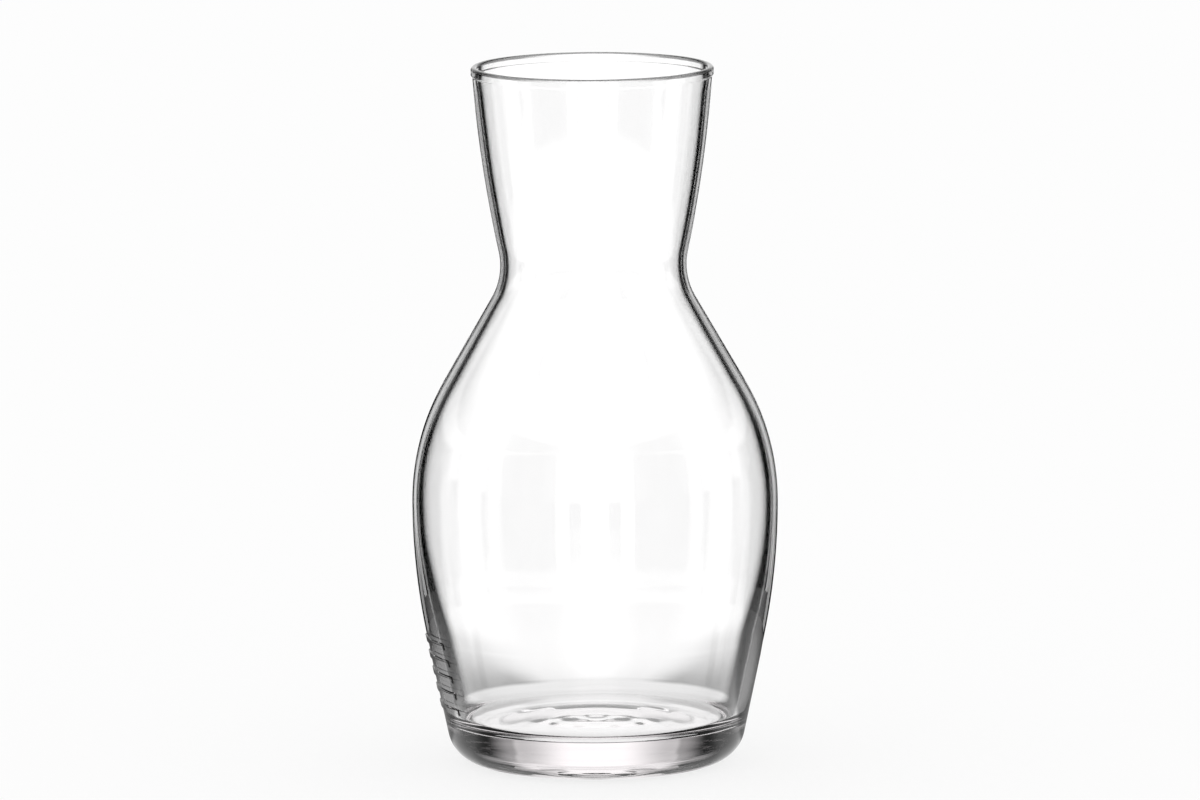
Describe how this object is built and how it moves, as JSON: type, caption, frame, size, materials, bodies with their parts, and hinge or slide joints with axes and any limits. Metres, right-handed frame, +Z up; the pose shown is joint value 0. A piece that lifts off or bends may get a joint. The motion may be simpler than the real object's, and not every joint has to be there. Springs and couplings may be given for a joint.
{
  "type": "water carafe",
  "caption": "Clear glass water carafe with a rounded belly, a narrow waist, a flared neck with a beaded lip, and a thick flat foot.",
  "frame": {"origin": "centre of the flat foot ring, on the plane that the carafe stands on", "axes": "+Z up along the axis of revolution, -Y towards the viewer of the picture, -X towards the side with the raised bars"},
  "size_m": [0.114, 0.114, 0.218],
  "materials": {
    "clear_glass": "clear soda-lime glass with a fire-polished surface"
  },
  "bodies": {
    "root": {"glass_body": "clear_glass"}
  },
  "joints": []
}
